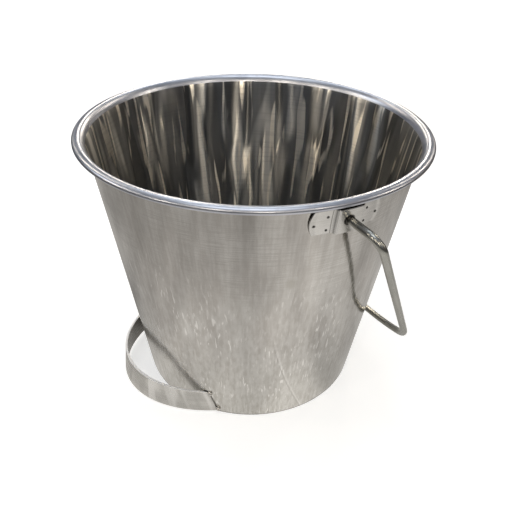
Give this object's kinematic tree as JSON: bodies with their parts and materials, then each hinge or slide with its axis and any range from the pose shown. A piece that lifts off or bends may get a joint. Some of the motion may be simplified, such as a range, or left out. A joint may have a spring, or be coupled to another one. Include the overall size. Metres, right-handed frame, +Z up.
{
  "type": "stainless steel feed bucket with tilting strap",
  "caption": "Tapered round steel bucket with a curled rim, a swinging wire bail hung from spot-welded ears, and a welded strap at the foot to grip when tipping it.",
  "frame": {"origin": "middle of the base's underside, on the surface that the bucket stands on", "axes": "+Z up along the bucket's axis; X along the bail's hinge, through both ears; the tilting strap is on the -Y side and the bail hangs on the +Y side"},
  "size_m": [0.3592, 0.305, 0.2468],
  "materials": {
    "wall_steel": "satin stainless with fine turning rings outside and streaky polish inside",
    "base_steel": "satin stainless with circular polishing marks",
    "ear_steel": "pressed satin stainless with spot-weld marks",
    "bail_steel": "polished drawn wire",
    "strap_steel": "satin stainless bar with a bright worn edge",
    "tack_steel": "bright weld metal"
  },
  "bodies": {
    "bucket": {"bucket_wall": "wall_steel", "bucket_base": "base_steel", "ear_right": "ear_steel", "ear_left": "ear_steel", "tilt_strap": "strap_steel", "strap_tack_right_top": "tack_steel", "strap_tack_right_bottom": "tack_steel", "strap_tack_left_top": "tack_steel", "strap_tack_left_bottom": "tack_steel"},
    "bail": {"bail": "bail_steel"}
  },
  "joints": [
    {"name": "bail_hinge", "type": "hinge", "parent": "bucket", "child": "bail", "pos_m": [0, 0, 0.2268], "axis": [1, 0, 0], "range_deg": [0, 297.2]}
  ]
}
